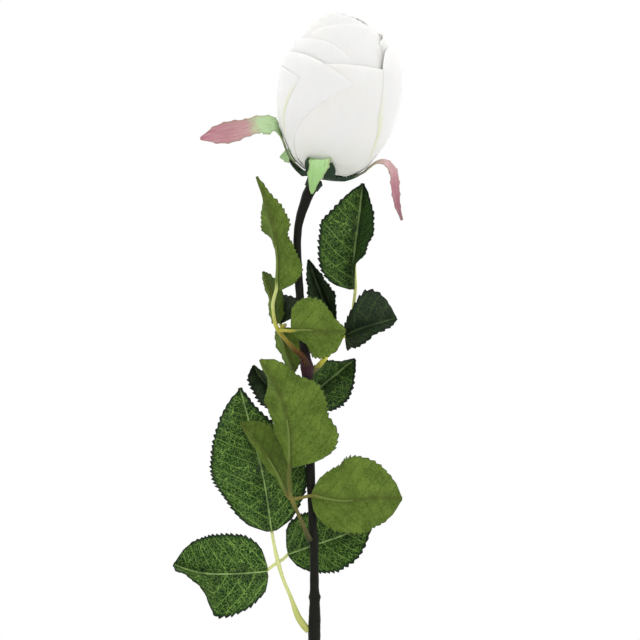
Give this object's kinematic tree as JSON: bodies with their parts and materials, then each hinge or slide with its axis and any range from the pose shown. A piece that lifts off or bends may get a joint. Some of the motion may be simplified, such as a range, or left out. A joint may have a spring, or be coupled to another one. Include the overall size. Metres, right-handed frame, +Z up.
{
  "type": "rose in a bud vase",
  "caption": "White artificial rose, half open, with serrated compound leaves on a dark stem, standing in a plain glazed bud vase.",
  "frame": {"origin": "centre of the vase's flat foot, on the surface that it stands on", "axes": "+Z up along the vase and the rose; the picture's view looks along +Y, so -Y is the front and +X the right"},
  "size_m": [0.1033, 0.096, 0.4628],
  "materials": {
    "vase_glaze": "smooth gloss glaze, foot left unglazed",
    "stem_plastic": "near-black plastic coat over a wire core, slightly ribbed",
    "stalk_plastic": "satin moulded plastic, pale yellow-green to orange-brown",
    "leaf_fabric": "dark printed upper face with a fine pale net, paler woven lower face",
    "petal_fabric": "soft white petal cloth, faint cream and green tints",
    "calyx_fabric": "pale green cloth turning pink at the tips, dark green outside"
  },
  "bodies": {
    "root": {"vase": "vase_glaze", "stem": "stem_plastic", "calyx": "calyx_fabric", "bloom": "petal_fabric", "stalk_low": "stalk_plastic", "stalk_mid": "stalk_plastic", "stalk_high": "stalk_plastic", "stalk_back": "stalk_plastic", "stalk_rear": "stalk_plastic", "leaf_low_end": "leaf_fabric", "leaf_low_left": "leaf_fabric", "leaf_low_right": "leaf_fabric", "leaf_mid_end": "leaf_fabric", "leaf_mid_left": "leaf_fabric", "leaf_mid_right": "leaf_fabric", "leaf_high_end": "leaf_fabric", "leaf_high_right": "leaf_fabric", "leaf_high_left": "leaf_fabric", "leaf_high_back": "leaf_fabric", "leaf_high_low": "leaf_fabric", "leaf_back_end": "leaf_fabric", "leaf_back_right": "leaf_fabric", "leaf_back_left": "leaf_fabric", "leaf_rear_right": "leaf_fabric", "leaf_rear_left": "leaf_fabric", "leaf_rear_end": "leaf_fabric"}
  },
  "joints": []
}
